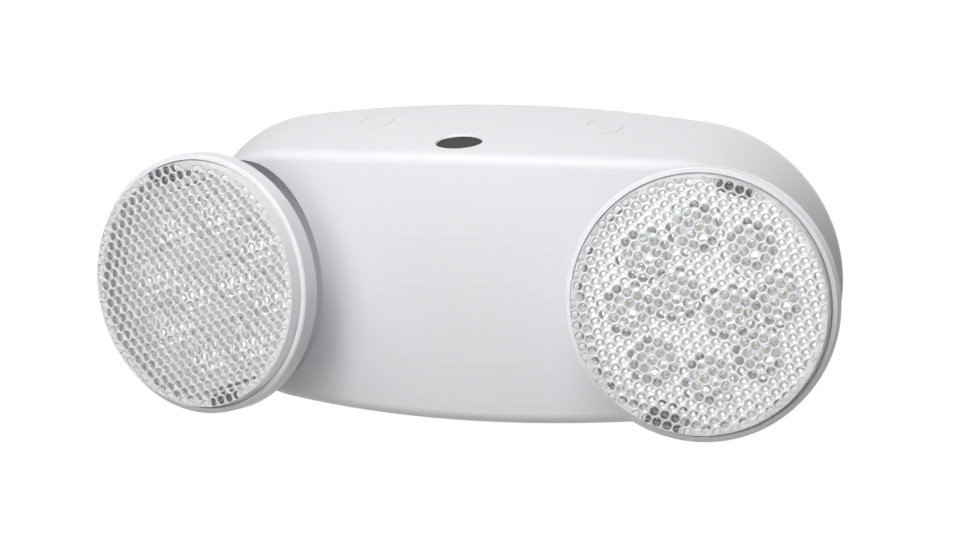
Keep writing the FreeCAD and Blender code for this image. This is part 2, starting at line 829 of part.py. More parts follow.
def swivel_neck(label, side):
    floor = -D.scoop_depth + D.seat_clearance
    end = washer_top() - D.washer_thickness - D.nut_thickness - D.thread_end
    shoulder = floor + D.neck_flange_thickness + D.neck_cone_height
    tube = turned([
        (D.neck_bore_radius, end), (D.neck_radius, end), (D.neck_radius, floor),
        (D.neck_flange_radius, floor), (D.neck_flange_radius, floor + D.neck_flange_thickness),
        (D.neck_shoulder_radius, shoulder), (D.neck_bore_radius, shoulder)])
    lugs = []
    lug_x = D.knuckle_width / 2 + D.seat_clearance + D.lug_thickness / 2
    base = shoulder - D.lug_sink
    for turn in SIDES.values():
        lugs.append(box(D.lug_thickness, D.lug_radius * 2, -base, lug_x * turn, ZERO, base))
        lugs.append(cross_cylinder(D.lug_radius, D.lug_thickness, lug_x * turn))
    reach = (D.knuckle_width / 2 + D.seat_clearance + D.lug_thickness) * 2
    eye = cross_cylinder(D.pin_radius, reach * 2)
    finish(cut(fuse(tube, *lugs), eye), f"swivel_neck_{label}", neck_placement(side))
    finish(cross_cylinder(D.pin_radius, reach), f"tilt_pin_{label}", neck_placement(side))


def neck_retainer(label, side):
    bore = D.neck_radius + D.running_clearance
    low = washer_top() - D.washer_thickness
    ring = cut(cylinder(D.washer_radius, D.washer_thickness, z=low),
               cylinder(bore, D.washer_thickness, z=low))
    finish(ring, f"friction_washer_{label}", neck_placement(side))
    hexagon = doc.addObject("Part::Prism", "hexagon")
    bind(hexagon, Circumradius=D.nut_radius, Height=D.nut_thickness)
    at(hexagon, z=low - D.nut_thickness)
    nut = cut(hexagon, cylinder(bore, D.nut_thickness, z=low - D.nut_thickness))
    finish(nut, f"retaining_nut_{label}", neck_placement(side))


# Lamp head, in a frame with its tilt axis on X and its beam along Z
def lens_seat():
    return D.rim_reach - D.lens_seat_depth


def lens_tab_middle():
    """How far from the beam the lens tabs stand, just outside the ledge's inner edge."""
    ledge = D.rim_radius - D.rim_thickness - D.lens_seat_width
    return ledge + D.lens_tab_thickness / 2 - D.running_clearance * 2


def reflector_front():
    return lens_seat() - D.reflector_drop


def led_board_front():
    return reflector_front() - D.cup_depth


def led_board_radius():
    return D.rim_radius - D.led_board_inset


def led_ring_radius():
    return led_board_radius() - D.led_ring_inset


def led_screw_offset():
    """The two board screws stand above and below, clear inside the ring of lamps."""
    return led_ring_radius() - D.led_screw_inset


def led_places():
    """The two middle lamps and the ring round them, in the head's frame."""
    step = 2 * math.pi / RING_LAMPS
    places = [(D.led_inner_offset * side, ZERO) for side in SIDES.values()]
    for index in range(RING_LAMPS):
        angle = (index + 0.5) * step
        places.append((led_ring_radius() * round(math.cos(angle), 6),
                       led_ring_radius() * round(math.sin(angle), 6)))
    return places


def head_shell(label, side):
    drum_back = D.rim_reach - D.drum_length
    bore = D.rim_radius - D.rim_thickness
    ledge = bore - D.lens_seat_width
    bowl = turned([
        (ZERO, D.back_reach), (D.back_radius, D.back_reach),
        (D.rim_radius - D.drum_chamfer, drum_back - D.drum_chamfer), (D.rim_radius, drum_back),
        (D.rim_radius, D.rim_reach), (bore, D.rim_reach), (bore, lens_seat()), (ledge, lens_seat()),
        (ledge, drum_back + D.head_wall / 4),
        (D.back_radius - D.head_wall / 2, D.back_reach + D.head_wall),
        (ZERO, D.back_reach + D.head_wall)])
    knuckle = [cross_cylinder(D.knuckle_radius, D.knuckle_width),
               box(D.knuckle_width, D.knuckle_radius * 2, D.back_reach + D.head_wall / 2)]
    seat = led_board_front() - D.board_thickness
    base = D.back_reach + D.head_wall / 2
    screw_hole = D.screw_radius + D.running_clearance
    posts = []
    holes = [cross_cylinder(D.pin_radius + D.running_clearance, D.knuckle_width * 2)]
    for turn in SIDES.values():
        y = led_screw_offset() * turn
        posts.append(cylinder(D.board_post_radius, seat - base, ZERO, y, base))
        holes.append(cylinder(screw_hole, D.screw_length, ZERO, y,
                              seat - D.screw_length + D.board_thickness))
        slot_height = D.lens_tab_length + D.seat_clearance
        slot_width = D.lens_tab_thickness + D.seat_clearance * 2
        holes.append(box(D.latch_width, slot_width, slot_height, ZERO, lens_tab_middle() * turn,
                         lens_seat() - slot_height))
    shell = rounded(cut(fuse(bowl, *knuckle, *posts), *holes), rim_edge, D.rim_rounding)
    finish(shell, f"head_shell_{label}", head_placement(side))


def hexagon_corners(centre, circumradius):
    corners = []
    for index in range(6):
        angle = math.radians(30 + 60 * index)
        corners.append((round(centre[0] + circumradius * math.cos(angle), 6),
                        round(centre[1] + circumradius * math.sin(angle), 6)))
    return corners


def honeycomb_cells(field_radius):
    """Centres and corners of the whole cells that fit inside the field."""
    pitch = D.cell_pitch.number
    row_pitch = pitch * math.sqrt(3) / 2
    circumradius = pitch / math.sqrt(3)
    rows = math.ceil(field_radius / row_pitch)
    cells = []
    for row in range(-rows, rows + 1):
        shift = pitch / 2 if row % 2 else 0.0
        for column in range(-rows, rows + 1):
            centre = (column * pitch + shift, row * row_pitch)
            corners = hexagon_corners(centre, circumradius)
            if max(math.hypot(*corner) for corner in corners) < field_radius:
                cells.append((centre, corners))
    return cells


def outline_of(cells):
    """The jagged border of the field: the cell edges that no second cell shares."""
    edges = {}
    for _, corners in cells:
        for index in range(6):
            start, stop = corners[index], corners[(index + 1) % 6]
            if (stop, start) in edges:
                del edges[(stop, start)]
            else:
                edges[(start, stop)] = stop
    following = {start: stop for start, stop in edges}
    point = next(iter(following))
    path = [point]
    while following[path[-1]] != path[0]:
        path.append(following[path[-1]])
    return path


def honeycomb_lens(label, side):
    """A clear cap whose front is a honeycomb of hollow hexagonal pyramids."""
    flange = D.rim_radius - D.rim_thickness - D.seat_clearance
    wall = D.lens_thickness
    seat = lens_seat().number
    shoulder = D.rim_reach.number
    front = shoulder + D.lens_rise.number
    brow = (flange - D.lens_slope).number
    field_radius = brow - D.cell_margin.number
    inside = (flange - wall).number
    ceiling = front - wall.number
    side_profile = Part.makePolygon([
        FreeCAD.Vector(brow, 0, front), FreeCAD.Vector(flange.number, 0, shoulder),
        FreeCAD.Vector(flange.number, 0, seat), FreeCAD.Vector(inside, 0, seat),
        FreeCAD.Vector(inside, 0, shoulder), FreeCAD.Vector(brow - wall.number, 0, ceiling),
        FreeCAD.Vector(0, 0, ceiling)])
    faces = list(side_profile.revolve(ORIGIN, Z_AXIS, 360).Faces)
    cells = honeycomb_cells(field_radius)
    path = [FreeCAD.Vector(x, y, front) for x, y in outline_of(cells)]
    border = Part.makePolygon(path + path[:1])
    brow_circle = Part.Wire(Part.Circle(FreeCAD.Vector(0, 0, front), Z_AXIS, brow).toShape())
    faces.append(Part.makeFace([brow_circle, border], "Part::FaceMakerBullseye"))
    low = front - D.cell_depth.number
    for centre, corners in cells:
        apex = FreeCAD.Vector(centre[0], centre[1], low)
        for index in range(6):
            start = FreeCAD.Vector(*corners[index], front)
            stop = FreeCAD.Vector(*corners[(index + 1) % 6], front)
            faces.append(Part.Face(Part.makePolygon([start, stop, apex, start])))
    shell = Part.makeShell(faces)
    shell.sewShape()
    solid = Part.makeSolid(shell)
    if solid.Volume < 0:
        solid.reverse()
    cap = doc.addObject("Part::Feature", "honeycomb_cap")
    cap.Shape = solid
    tabs = []
    for turn in SIDES.values():
        tabs.append(box(D.latch_width - D.seat_clearance * 2, D.lens_tab_thickness,
                        D.lens_tab_length + D.lens_seat_depth / 2, ZERO, lens_tab_middle() * turn,
                        lens_seat() - D.lens_tab_length))
    finish(fuse(cap, *tabs), f"lens_{label}", head_placement(side))


def bowl(radius, height, x, y, z):
    """The lower half of an ellipsoid, hanging from z."""
    half = doc.addObject("Part::Ellipsoid", "bowl")
    bind(half, Radius1=height, Radius2=radius, Radius3=radius)
    half.Angle2 = 0
    return at(half, x, y, z)


def reflector(label, side):
    """A plate with a curved cup for each lamp, open at the bottom where the lamp looks in."""
    front = reflector_front()
    wall = D.reflector_thickness
    radius = D.rim_radius - D.rim_thickness - D.lens_seat_width - D.seat_clearance * 2
    plate = cylinder(radius, wall, z=front - wall)
    height = D.cup_depth + D.cup_overrun
    cups = []
    hollows = []
    for x, y in led_places():
        cups.append(bowl(D.cup_radius + wall, height + wall, x, y, front))
        hollows.append(bowl(D.cup_radius, height, x, y, front))
    above_board = cylinder(radius, D.cup_depth, z=led_board_front())
    body = common(fuse(plate, *cups), above_board)
    for turn in SIDES.values():
        y = (radius - D.latch_height / 2) * turn
        notch = D.latch_height + D.lens_tab_thickness
        hollows.append(box(D.latch_width, notch, wall, ZERO, y, front - wall))
    finish(cut(body, *hollows), f"reflector_{label}", head_placement(side))


def led_board(label, side):
    front = led_board_front()
    back = front - D.board_thickness
    disc = cylinder(led_board_radius(), D.board_thickness, z=back)
    hole = D.screw_radius + D.running_clearance
    places = [led_screw_offset() * turn for turn in SIDES.values()]
    holes = [cylinder(hole, D.board_thickness, ZERO, y, back) for y in places]
    finish(cut(disc, *holes), f"led_board_{label}", head_placement(side))
    screws = [screw(ZERO, y, front) for y in places]
    finish(group(*screws), f"led_board_screws_{label}", head_placement(side))
    leds = []
    for x, y in led_places():
        package = box(D.led_side, D.led_side, D.led_height, x, y, front)
        dome_top = D.led_dome_radius / 2
        dome = cone(D.led_dome_radius, dome_top, D.led_dome_height, x, y, front + D.led_height)
        leds.append(fuse(package, dome))
    finish(group(*leds), f"leds_{label}", head_placement(side))


front_cover()
test_button()
test_switch()
switch_board()
back_plate()
battery()
battery_strap()
board_parts(control_board())
for label, side in SIDES.items():
    swivel_neck(label, side)
    neck_retainer(label, side)
    head_shell(label, side)
    honeycomb_lens(label, side)
    reflector(label, side)
    led_board(label, side)

doc.recompute()
for thing in doc.Objects:
    if "Invalid" in thing.State or "Error" in thing.State:
        raise RuntimeError(f"{thing.Label} did not build: {thing.State}")
for thing in finished:
    shape = thing.Shape
    if shape.isNull() or not shape.isValid():
        raise RuntimeError(f"{thing.Label} has no valid shape")
    shape.exportStep(f"parts/{thing.Label}.step")
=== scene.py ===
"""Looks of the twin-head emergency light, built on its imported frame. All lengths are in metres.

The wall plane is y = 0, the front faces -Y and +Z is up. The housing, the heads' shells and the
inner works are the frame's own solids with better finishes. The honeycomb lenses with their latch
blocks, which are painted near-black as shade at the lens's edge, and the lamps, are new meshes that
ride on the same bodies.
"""

import json
import math

import bmesh
import bpy
from bpy.props import FloatProperty, FloatVectorProperty, IntProperty, PointerProperty
from bpy.types import Operator, Panel, PropertyGroup
from mathutils import Matrix, Vector


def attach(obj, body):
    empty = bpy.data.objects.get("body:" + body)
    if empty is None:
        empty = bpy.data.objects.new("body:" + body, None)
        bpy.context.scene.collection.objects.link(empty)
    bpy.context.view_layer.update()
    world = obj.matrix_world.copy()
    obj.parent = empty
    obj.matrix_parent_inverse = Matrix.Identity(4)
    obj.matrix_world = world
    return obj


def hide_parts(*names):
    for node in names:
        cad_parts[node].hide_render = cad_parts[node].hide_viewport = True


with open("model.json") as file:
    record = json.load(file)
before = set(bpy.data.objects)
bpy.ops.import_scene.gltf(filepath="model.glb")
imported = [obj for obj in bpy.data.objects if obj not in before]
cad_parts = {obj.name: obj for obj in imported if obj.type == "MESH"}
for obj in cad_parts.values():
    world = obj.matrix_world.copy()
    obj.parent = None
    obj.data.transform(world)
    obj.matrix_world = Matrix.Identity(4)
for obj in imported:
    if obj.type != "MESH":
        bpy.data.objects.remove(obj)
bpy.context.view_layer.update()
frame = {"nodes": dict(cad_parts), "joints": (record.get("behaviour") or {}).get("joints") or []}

bl_info = {
    "name": "Twin-head emergency light",
    "version": (1, 0, 0),
    "blender": (4, 5, 0),
    "location": "3D View > Sidebar > Light",
    "description": "Builds the visible finish of a twin-head emergency light",
    "category": "Object",
}

MM = 0.001
SIDES = ("left", "right")
Z_AXIS = Vector((0.0, 0.0, 1.0))

# Points nearer to each other than this are one point
TOUCH = 0.01 * MM
# Faces that meet at less than this angle look smooth
SMOOTH_ANGLE = math.radians(35.0)


# Settings
class HousingSettings(PropertyGroup):
    """Colours of the mouldings."""

    shell_color: FloatVectorProperty(
        name="Shell colour", description="White of the cover and the lamp heads",
        default=(0.80, 0.785, 0.815), size=3, min=0.0, max=1.0, subtype="COLOR")
    button_color: FloatVectorProperty(
        name="Button colour", description="Charcoal of the test button",
        default=(0.018, 0.018, 0.019), size=3, min=0.0, max=1.0, subtype="COLOR")


class HeadSettings(PropertyGroup):
    """Sizes of a lamp head, in the head's own frame with its beam along Z."""

    aim: FloatProperty(
        name="Resting aim", description="How far the beam is tilted up from the neck's axis",
        default=math.radians(5.8), subtype="ANGLE", unit="ROTATION")
    rim_reach: FloatProperty(
        name="Rim reach", description="From the tilt axis to the front of the rim",
        default=28.0 * MM, subtype="DISTANCE", unit="LENGTH")
    lens_rise: FloatProperty(
        name="Lens rise", description="How far the lens stands out of the rim",
        default=4.0 * MM, subtype="DISTANCE", unit="LENGTH")
    lens_radius: FloatProperty(
        name="Lens radius", description="Radius of the lens where it leaves the rim",
        default=47.7 * MM, subtype="DISTANCE", unit="LENGTH")
    lens_slope: FloatProperty(
        name="Lens slope", description="How much smaller the lens front is than its foot",
        default=0.8 * MM, subtype="DISTANCE", unit="LENGTH")
    lens_wall: FloatProperty(
        name="Lens wall", description="Thickness of the clear cap",
        default=1.2 * MM, subtype="DISTANCE", unit="LENGTH")
    lens_seat_depth: FloatProperty(
        name="Lens seat depth", description="How far the lens foot lies behind the rim's front",
        default=3.5 * MM, subtype="DISTANCE", unit="LENGTH")
    cell_pitch: FloatProperty(
        name="Cell pitch", description="Distance between neighbouring cells of the honeycomb",
        default=4.0 * MM, subtype="DISTANCE", unit="LENGTH")
    well_radius: FloatProperty(
        name="Well radius", description="Radius of the sunk well in each cell, at its mouth",
        default=1.9 * MM, subtype="DISTANCE", unit="LENGTH")
    well_depth: FloatProperty(
        name="Well depth", description="Depth of the well's frosted wall",
        default=0.55 * MM, subtype="DISTANCE", unit="LENGTH")
    dome_radius: FloatProperty(
        name="Dome radius", description="Radius of the clear dome in the bottom of each well",
        default=1.6 * MM, subtype="DISTANCE", unit="LENGTH")
    dome_height: FloatProperty(
        name="Dome height", description="Height of the clear dome in each well",
        default=0.6 * MM, subtype="DISTANCE", unit="LENGTH")
    cell_margin: FloatProperty(
        name="Cell margin", description="Width of the plain border round the cells",
        default=0.15 * MM, subtype="DISTANCE", unit="LENGTH")
    milky_border: FloatProperty(
        name="Milky border", description="How far the frosted domes reach in from the edge",
        default=2.6 * MM, subtype="DISTANCE", unit="LENGTH")
    # Painted shade: the latch blocks are near-black, so the lens shows dark patches at its top and
    # bottom edge
    latch_shade_width: FloatProperty(
        name="Latch width", description="Width of the two dark latches behind the lens's edge",
        default=13.0 * MM, subtype="DISTANCE", unit="LENGTH")
    latch_shade_depth: FloatProperty(
        name="Latch depth", description="From the front to the back of a latch, and its height",
        default=3.0 * MM, subtype="DISTANCE", unit="LENGTH")
    latch_shade_gap: FloatProperty(
        name="Latch gap", description="From the inside of the lens front to a latch",
        default=0.1 * MM, subtype="DISTANCE", unit="LENGTH")
    latch_shade_inset: FloatProperty(
        name="Latch inset", description="From the inside of the lens brow to a latch",
        default=0.6 * MM, subtype="DISTANCE", unit="LENGTH")
    ring_lamps: IntProperty(
        name="Ring lamps", description="Number of lamps in the outer ring", default=8, min=1)
    lamp_ring_radius: FloatProperty(
        name="Lamp ring radius", description="Radius of the outer ring of lamps",
        default=27.5 * MM, subtype="DISTANCE", unit="LENGTH")
    inner_lamp_offset: FloatProperty(
        name="Inner lamp offset", description="From the beam to each of the two middle lamps",
        default=10.0 * MM, subtype="DISTANCE", unit="LENGTH")
    lamp_seat: FloatProperty(
        name="Lamp seat", description="From the tilt axis to the front of the lamp board",
        default=16.0 * MM, subtype="DISTANCE", unit="LENGTH")
    lamp_side: FloatProperty(
        name="Lamp side", description="Side of a lamp's square package",
        default=3.5 * MM, subtype="DISTANCE", unit="LENGTH")
    lamp_height: FloatProperty(
        name="Lamp height", description="Height of a lamp's package",
        default=0.8 * MM, subtype="DISTANCE", unit="LENGTH")
    phosphor_radius: FloatProperty(
        name="Phosphor radius", description="Radius of the yellow dome on a lamp",
        default=1.1 * MM, subtype="DISTANCE", unit="LENGTH")


class StudioSettings(PropertyGroup):
    """Camera and floor."""

    azimuth: FloatProperty(
        name="Camera azimuth", description="Turn of the camera from straight in front",
        default=0.424, subtype="ANGLE", unit="ROTATION")
    elevation: FloatProperty(
        name="Camera elevation", description="How far the camera looks down",
        default=0.2178, subtype="ANGLE", unit="ROTATION")
    roll: FloatProperty(
        name="Camera roll", description="Turn of the camera about its own line of sight",
        default=-0.058, subtype="ANGLE", unit="ROTATION")
    distance: FloatProperty(
        name="Camera distance", description="From the camera to the point it looks at",
        default=1.281, subtype="DISTANCE", unit="LENGTH")
    target: FloatVectorProperty(
        name="Camera target", description="Point in the middle of the picture",
        default=(0.01588, -0.067, 0.01162), size=3, subtype="XYZ", unit="LENGTH")
    focal_length: FloatProperty(
        name="Focal length", description="In millimetres, on a sensor 36 mm wide",
        default=130.47, min=1.0)
    floor_drop: FloatProperty(
        name="Floor drop", description="How far the floor lies under the middle of the light",
        default=0.40, subtype="DISTANCE", unit="LENGTH")


# Shader helpers
# How much the gloss drifts over a moulding, in parts of roughness
GLOSS_DRIFT = 0.05
# A noise texture swings about this value
NOISE_MIDDLE = 0.5


def new_material(name):
    """A material with an empty node tree."""
    material = bpy.data.materials.new(name)
    material.use_nodes = True
    material.node_tree.nodes.clear()
    return material


def add_node(tree, kind, **settings):
    """A node with its settings. A keyword that is no setting is a socket, with _ for a space."""
    node = tree.nodes.new(kind)
    for name, value in settings.items():
        if hasattr(node, name):
            setattr(node, name, value)
        else:
            node.inputs[name.replace("_", " ")].default_value = value
    return node


def principled(material, **sockets):
    """A Principled shader wired to the output. Keywords are its sockets, with _ for a space."""
    tree = material.node_tree
    shader = add_node(tree, "ShaderNodeBsdfPrincipled", **sockets)
    output = tree.nodes.new("ShaderNodeOutputMaterial")
    tree.links.new(shader.outputs["BSDF"], output.inputs["Surface"])
    return shader


def grain_group():
    """Fine moulding grain with slow colour and gloss drift, over Object coordinates."""
    name = "Moulding grain"
    if name in bpy.data.node_groups:
        return bpy.data.node_groups[name]
    group = bpy.data.node_groups.new(name, "ShaderNodeTree")
    face = group.interface
    face.new_socket("Color", in_out="INPUT", socket_type="NodeSocketColor")
    for label in ("Drift", "Roughness", "Roughness drift", "Grain scale", "Grain depth"):
        face.new_socket(label, in_out="INPUT", socket_type="NodeSocketFloat")
    face.new_socket("Color", in_out="OUTPUT", socket_type="NodeSocketColor")
    face.new_socket("Roughness", in_out="OUTPUT", socket_type="NodeSocketFloat")
    face.new_socket("Normal", in_out="OUTPUT", socket_type="NodeSocketVector")
    link = group.links.new
    given = group.nodes.new("NodeGroupInput")
    out = group.nodes.new("NodeGroupOutput")
    place = group.nodes.new("ShaderNodeTexCoord")

    # The slow drift tints the colour and shifts the roughness
    slow = add_node(group, "ShaderNodeTexNoise", Scale=18.0, Detail=3.0)
    link(place.outputs["Object"], slow.inputs["Vector"])
    shade = add_node(group, "ShaderNodeMath", operation="SUBTRACT")
    shade.inputs[1].default_value = NOISE_MIDDLE
    link(slow.outputs["Fac"], shade.inputs[0])
    drift = add_node(group, "ShaderNodeMath", operation="MULTIPLY_ADD")
    drift.inputs[2].default_value = 1.0
    link(shade.outputs[0], drift.inputs[0])
    link(given.outputs["Drift"], drift.inputs[1])
    tinted = add_node(group, "ShaderNodeVectorMath", operation="SCALE")
    link(given.outputs["Color"], tinted.inputs[0])
    link(drift.outputs[0], tinted.inputs["Scale"])
    link(tinted.outputs[0], out.inputs["Color"])
    gloss = add_node(group, "ShaderNodeMath", operation="MULTIPLY_ADD")
    link(shade.outputs[0], gloss.inputs[0])
    link(given.outputs["Roughness drift"], gloss.inputs[1])
    link(given.outputs["Roughness"], gloss.inputs[2])
    link(gloss.outputs[0], out.inputs["Roughness"])

    # The fine grain is a bump
    fine = add_node(group, "ShaderNodeTexNoise", Detail=2.0)
    link(place.outputs["Object"], fine.inputs["Vector"])
    link(given.outputs["Grain scale"], fine.inputs["Scale"])
    bump = add_node(group, "ShaderNodeBump", Strength=1.0)
    link(fine.outputs["Fac"], bump.inputs["Height"])
    link(given.outputs["Grain depth"], bump.inputs["Distance"])
    link(bump.outputs["Normal"], out.inputs["Normal"])
    return group


def moulded(name, color, roughness, drift=0.02, grain=900.0, depth=0.02 * MM, **sockets):
    """A moulded or coated finish: base colour, gloss and a fine grain."""
    material = new_material(name)
    shader = principled(material, **sockets)
    tree = material.node_tree
    surface = add_node(tree, "ShaderNodeGroup", node_tree=grain_group(), Color=(*color, 1.0),
                       Drift=drift, Roughness=roughness, Roughness_drift=GLOSS_DRIFT,
                       Grain_scale=grain, Grain_depth=depth)
    for output, socket in (("Color", "Base Color"), ("Roughness", "Roughness"), ("Normal", "Normal")):
        tree.links.new(surface.outputs[output], shader.inputs[socket])
    return material


def coat(node, material):
    """Gives a frame solid its finish."""
    for slot in frame["nodes"][node].material_slots:
        slot.material = material


# Mesh helpers
def object_from(bm, name, body, slot, *materials):
    """A finished piece in the frame's coordinates that rides on a body."""
    mesh = bpy.data.meshes.new(name)
    bm.to_mesh(mesh)
    bm.free()
    mesh.polygons.foreach_set("use_smooth", [True] * len(mesh.polygons))
    mesh.set_sharp_from_angle(angle=SMOOTH_ANGLE)
    for material in materials:
        mesh.materials.append(material)
    piece = bpy.data.objects.new(name, mesh)
    bpy.context.scene.collection.objects.link(piece)
    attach(piece, body)
    return piece


def add_box(bm, middle, width, depth, height):
    """A box about its middle."""
    size = Matrix.Diagonal((width, depth, height, 1.0))
    bmesh.ops.create_cube(bm, size=1.0, matrix=Matrix.Translation(middle) @ size)


def head_matrix(side):
    """From a head's own frame, tilt axis on X and beam along Z, to the part's frame at rest."""
    joints = {joint["name"]: joint for joint in frame["joints"]}
    tilt = joints[f"{side}_head_tilt"]
    across = Vector(tilt["axis"])
    forward = Vector(joints[f"{side}_head_swivel"]["axis"]).normalized()
    beam = Matrix.Rotation(-bpy.context.scene.lamp_head.aim, 3, across) @ forward
    upward = beam.cross(across)
    basis = Matrix((across, upward, beam)).transposed().to_4x4()
    return Matrix.Translation(Vector(tilt["pos_m"])) @ basis


# Honeycomb lens
CELL_SIDES = 6
# A cell counts when its centre lies at least this share of the pitch inside the field
CELL_SHARE = 0.1
# Radii of the rings that a dome is made of, as shares of the dome's radius
DOME_RINGS = (1.0, 0.72, 0.38)
# Places of the two plastics in a lens's material slots
CLEAR, FROSTED = 0, 1
LENS_IOR = 1.49


def cell_centres(pitch, field_radius):
    """Centres of the hexagonal cells that lie more than half in the round field."""
    row_step = pitch * math.sqrt(3) / 2
    rows = int(field_radius / row_step) + 1
    centres = []
    for row in range(-rows, rows + 1):
        shift = pitch / 2 if row % 2 else 0.0
        for column in range(-rows, rows + 1):
            centre = Vector((column * pitch + shift, row * row_step, 0.0))
            if centre.length < field_radius - CELL_SHARE * pitch:
                centres.append(centre)
    return centres


def cell_mesh(head):
    """One cell: a hexagonal web, the frosted wall of a round well and the clear dome in it."""
    radius, height = head.dome_radius, head.dome_height
    ball = (radius ** 2 + height ** 2) / (2 * height)
    rings = [(head.well_radius, 0.0)]
    for share in DOME_RINGS:
        reach = radius * share
        rings.append((reach, math.sqrt(ball ** 2 - reach ** 2) - (ball - height) - head.well_depth))
    bm = bmesh.new()
    bmesh.ops.create_circle(bm, segments=CELL_SIDES, radius=head.cell_pitch / math.sqrt(3))
    bmesh.ops.subdivide_edges(bm, edges=bm.edges[:], cuts=1)
    outer = bm.edges[:]
    for reach, lift in rings:
        last = reach == rings[-1][0]
        ring = bmesh.ops.create_circle(bm, segments=2 * CELL_SIDES, radius=reach, cap_ends=last)
        bmesh.ops.translate(bm, verts=ring["verts"], vec=(0, 0, lift))
        edges = list({edge for vert in ring["verts"] for edge in vert.link_edges})
        bmesh.ops.bridge_loops(bm, edges=outer + edges)
        outer = edges
    for face in bm.faces:
        on_dome = face.calc_center_median().xy.length <= radius
        face.material_index = CLEAR if on_dome else FROSTED
    mesh = bpy.data.meshes.new("cell")
    bm.to_mesh(mesh)
    bm.free()
    return mesh


def honeycomb(bm, head, height):
    """The cells of the lens front, pulled in to the round field; returns their border."""
    cell = cell_mesh(head)
    field = head.lens_radius - head.lens_slope - head.cell_margin
    last = Vector()
    for centre in cell_centres(head.cell_pitch, field):
        spot = centre + Z_AXIS * height
        cell.transform(Matrix.Translation(spot - last))
        bm.from_mesh(cell)
        last = spot
    bpy.data.meshes.remove(cell)
    bmesh.ops.remove_doubles(bm, verts=bm.verts, dist=TOUCH)
    for vert in bm.verts:
        reach = vert.co.xy.length
        if reach > field:
            vert.co.xy *= field / reach
    bmesh.ops.remove_doubles(bm, verts=bm.verts, dist=TOUCH)
    return [edge for edge in bm.edges if edge.is_boundary]


def lens_shape(head):
    """The clear cap in the head's frame: honeycomb front, slanted brow, foot and flat inside."""
    wall = head.lens_wall
    front = head.rim_reach + head.lens_rise
    foot = head.rim_reach - head.lens_seat_depth
    brow = head.lens_radius - head.lens_slope
    inner = head.lens_radius - wall
    outline = ((brow, front), (head.lens_radius, head.rim_reach), (head.lens_radius, foot),
               (inner, foot), (inner, head.rim_reach), (brow - wall, front - wall))
    bm = bmesh.new()
    border = honeycomb(bm, head, front)
    cells = set(bm.faces)
    for reach, level in outline:
        grown = bmesh.ops.extrude_edge_only(bm, edges=border)["geom"]
        verts = {item for item in grown if isinstance(item, bmesh.types.BMVert)}
        for vert in verts:
            vert.co = (*(vert.co.xy.normalized() * reach), level)
        border = [item for item in grown if isinstance(item, bmesh.types.BMEdge)
                  and all(vert in verts for vert in item.verts)]
    bmesh.ops.contextual_create(bm, geom=border)
    bmesh.ops.recalc_face_normals(bm, faces=bm.faces)

    # The cap is frosted outside and clear inside, and its domes turn milky near the edge, but not
    # where a latch block, painted near-black as shade, lies behind them
    for face in bm.faces:
        middle = face.calc_center_median()
        if face not in cells:
            reach = max(vert.co.xy.length for vert in face.verts)
            face.material_index = FROSTED if reach > inner + TOUCH else CLEAR
        elif middle.xy.length > brow - head.milky_border and abs(middle.x) > head.latch_shade_width / 2:
            face.material_index = FROSTED
    return bm


def latch_shade_shapes(head):
    """The two latch blocks at the lens's top and bottom edge, painted near-black as shade seen
    through it.
    """
    bm = bmesh.new()
    depth = head.latch_shade_depth
    front = head.rim_reach + head.lens_rise - head.lens_wall - head.latch_shade_gap
    edge = head.lens_radius - head.lens_slope - head.lens_wall - head.latch_shade_inset
    for up in (-1, 1):
        middle = Vector((0.0, up * (edge - depth / 2), front - depth / 2))
        add_box(bm, middle, head.latch_shade_width, depth, depth)
    return bm


def clear_plastic():
    """The domes and the inside of the cap."""
    material = new_material("Clear lens plastic")
    principled(material, Base_Color=(0.97, 0.975, 0.98, 1.0), Roughness=0.03, IOR=LENS_IOR,
               Transmission_Weight=1.0)
    return material


def frosted_plastic():
    """The webs, the border and the outside of the cap, milky with the light in them."""
    material = new_material("Frosted lens plastic")
    principled(material, Base_Color=(0.98, 0.98, 1.0, 1.0), Roughness=0.15, IOR=LENS_IOR,
               Transmission_Weight=0.35)
    return material


class EMLIGHT_OT_lenses(Operator):
    """Model the two clear caps with their honeycomb fronts"""

    bl_idname = "emlight.lenses"
    bl_label = "Honeycomb lenses"

    def execute(self, context):
        head = context.scene.lamp_head
        materials = (clear_plastic(), frosted_plastic())
        # Painted shade: the latch blocks are near-black so that dark patches show through the lens's
        # edge
        dark = moulded("Latch painted shade", (0.02, 0.02, 0.02), 0.4)
        for side in SIDES:
            bm = lens_shape(head)
            bm.transform(head_matrix(side))
            lens = object_from(bm, f"honeycomb_lens_{side}", f"{side}_head", "clear_lens", *materials)
            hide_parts(f"lens_{side}")
            latch_shades = latch_shade_shapes(head)
            latch_shades.transform(head_matrix(side))
            object_from(latch_shades, f"latches_{side}", f"{side}_head", "switch_black", dark)
        return {"FINISHED"}


# Shells and necks
class EMLIGHT_OT_shells(Operator):
    """Finish the cover, the back plate and the lamp heads in white plastic"""

    bl_idname = "emlight.shells"
    bl_label = "White mouldings"

    def execute(self, context):
        white = moulded("White moulding", context.scene.housing.shell_color, 0.55, grain=1500.0,
                        depth=0.004 * MM)
        for node in ("front_cover", "back_plate", "head_shell_left", "head_shell_right"):
            coat(node, white)
        # Painted shade: the necks and retaining nuts are near-black so the gap between each head and
        # the cover's scoop looks dark
        neck = moulded("Neck painted shade", (0.10, 0.10, 0.105), 0.5)
        for side in SIDES:
            coat(f"swivel_neck_{side}", neck)
            coat(f"retaining_nut_{side}", neck)
        return {"FINISHED"}


# Reflectors and lamps
# Rounding of a package's edges, as a share of its height
PACKAGE_ROUNDING = 0.2
# Height of a phosphor dome, as a share of its radius
PHOSPHOR_RISE = 0.5


